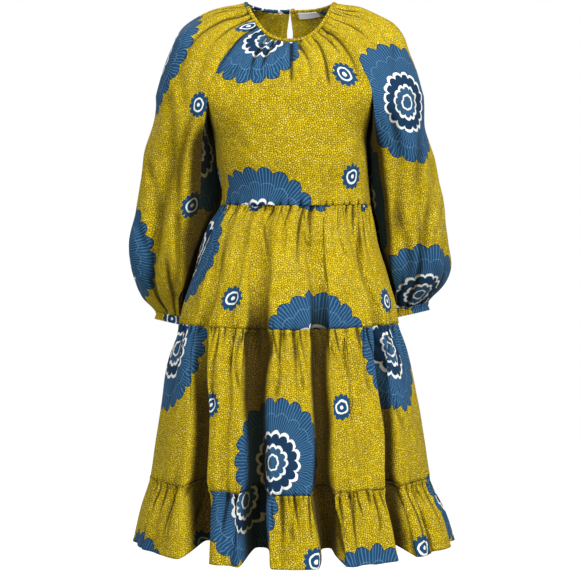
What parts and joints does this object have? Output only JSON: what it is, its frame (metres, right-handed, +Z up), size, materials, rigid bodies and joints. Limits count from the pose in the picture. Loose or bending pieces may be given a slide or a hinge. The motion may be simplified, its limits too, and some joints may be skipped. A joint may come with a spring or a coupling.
{
  "type": "puff sleeve dress",
  "caption": "Knee-length dress with long raglan puff sleeves, a gathered round neck, a fitted bodice and a tiered gathered skirt, open at neck, cuffs and hem.",
  "frame": {"origin": "between the shoulders at the height of the neck's sides, where the wearer holds it up", "axes": "+Z up, -Y towards the front, +X towards the image's right"},
  "size_m": [0.5922, 0.4512, 0.992],
  "materials": {
    "printed_cotton": "matte printed cotton",
    "label_satin": "woven satin",
    "button_resin": "polished resin",
    "loop_thread": "twisted thread"
  },
  "bodies": {
    "root": {"neck_binding": "printed_cotton", "front_bodice": "printed_cotton", "back_bodice": "printed_cotton", "sleeve_right": "printed_cotton", "sleeve_left": "printed_cotton", "cuff_right": "printed_cotton", "cuff_left": "printed_cotton", "tier_1_front": "printed_cotton", "tier_1_back": "printed_cotton", "tier_2_front": "printed_cotton", "tier_2_back": "printed_cotton", "tier_3_front": "printed_cotton", "tier_3_back": "printed_cotton", "label": "label_satin", "back_button": "button_resin", "button_loop": "loop_thread"}
  },
  "joints": []
}
